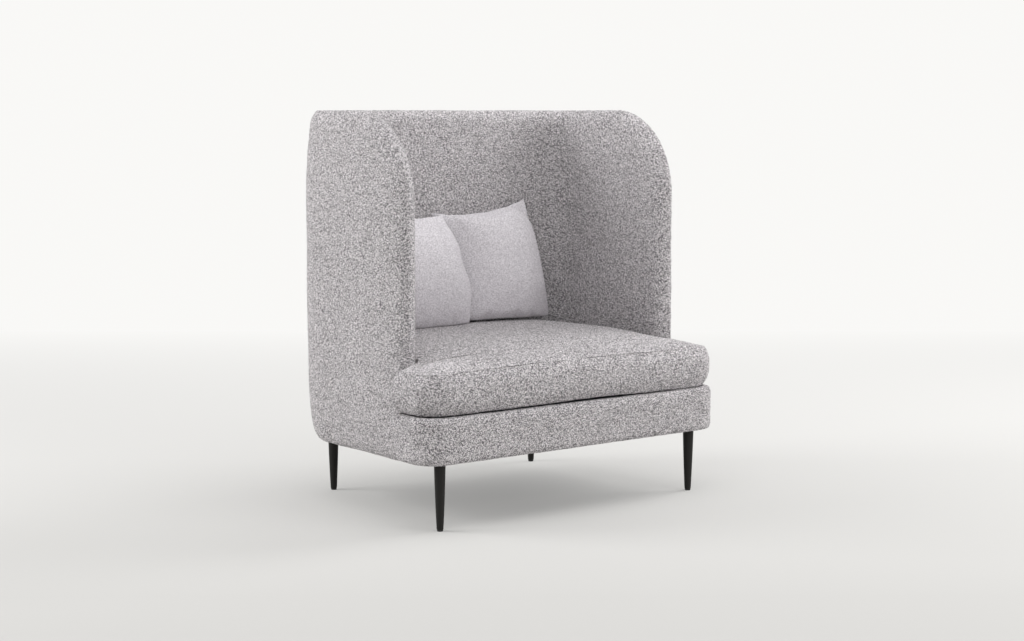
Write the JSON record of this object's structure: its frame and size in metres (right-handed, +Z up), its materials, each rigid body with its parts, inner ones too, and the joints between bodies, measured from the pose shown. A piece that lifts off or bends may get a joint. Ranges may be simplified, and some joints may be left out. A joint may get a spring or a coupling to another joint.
{
  "type": "acoustic high back lounge chair",
  "caption": "High back lounge chair: a padded wall with round corners wraps a deep seat, with a loose T-shaped cushion, scatter pillows and slim tapered legs.",
  "frame": {"origin": "on the floor, at the middle of the chair's width and depth", "axes": "+Z up; the chair's front faces -Y; +X is on the right of someone who looks at the front"},
  "size_m": [1.142, 0.7994, 1.2],
  "materials": {
    "cover_cloth": "matte",
    "pillow_cloth": "matte",
    "lining_cloth": "matte",
    "foam": "matte",
    "webbing": "matte",
    "plywood": "matte",
    "beech": "matte",
    "black_steel": "satin",
    "zinc_steel": "satin",
    "black_plastic": "matte",
    "zip_tape": "matte"
  },
  "bodies": {
    "chair": {"shell_core": "plywood", "shell_plinth": "plywood", "shell_outer_foam": "foam", "shell_inner_foam": "foam", "shell_edge_roll": "foam", "shell_inner_cover": "cover_cloth", "shell_outer_cover": "cover_cloth", "shell_bolts": "zinc_steel", "shell_washers": "zinc_steel", "shell_tee_nuts": "zinc_steel", "front_rail": "beech", "middle_rail": "beech", "rear_rail": "beech", "side_rail_left": "beech", "side_rail_right": "beech", "ear_rail_left": "beech", "ear_rail_right": "beech", "corner_blocks": "beech", "leg_boards": "plywood", "seat_webbing_long": "webbing", "seat_webbing_cross": "webbing", "deck_pad": "foam", "deck_lining": "lining_cloth", "base_foam": "foam", "base_cover": "cover_cloth", "bottom_lining": "lining_cloth", "leg_front_left": "black_steel", "leg_front_right": "black_steel", "leg_rear_left": "black_steel", "leg_rear_right": "black_steel", "leg_tee_nuts": "zinc_steel", "leg_glides": "black_plastic"},
    "cushion": {"cushion_core": "foam", "cushion_cover": "cover_cloth", "cushion_zip": "zip_tape"},
    "zip": {"zip_slider": "zinc_steel"},
    "left_pillow": {"pillow_left": "pillow_cloth"},
    "right_pillow": {"pillow_right": "pillow_cloth"}
  },
  "joints": [
    {"name": "cushion_lift", "type": "slide", "parent": "chair", "child": "cushion", "axis": [0, 0, 1], "range_m": [0, 0.9]},
    {"name": "pillow_left_lift", "type": "slide", "parent": "cushion", "child": "left_pillow", "axis": [0, 0, 1], "range_m": [0, 0.75]},
    {"name": "pillow_right_lift", "type": "slide", "parent": "cushion", "child": "right_pillow", "axis": [0, 0, 1], "range_m": [0, 0.75]},
    {"name": "zip_slide", "type": "slide", "parent": "cushion", "child": "zip", "axis": [1, 0, 0], "range_m": [0, 0.6]}
  ]
}
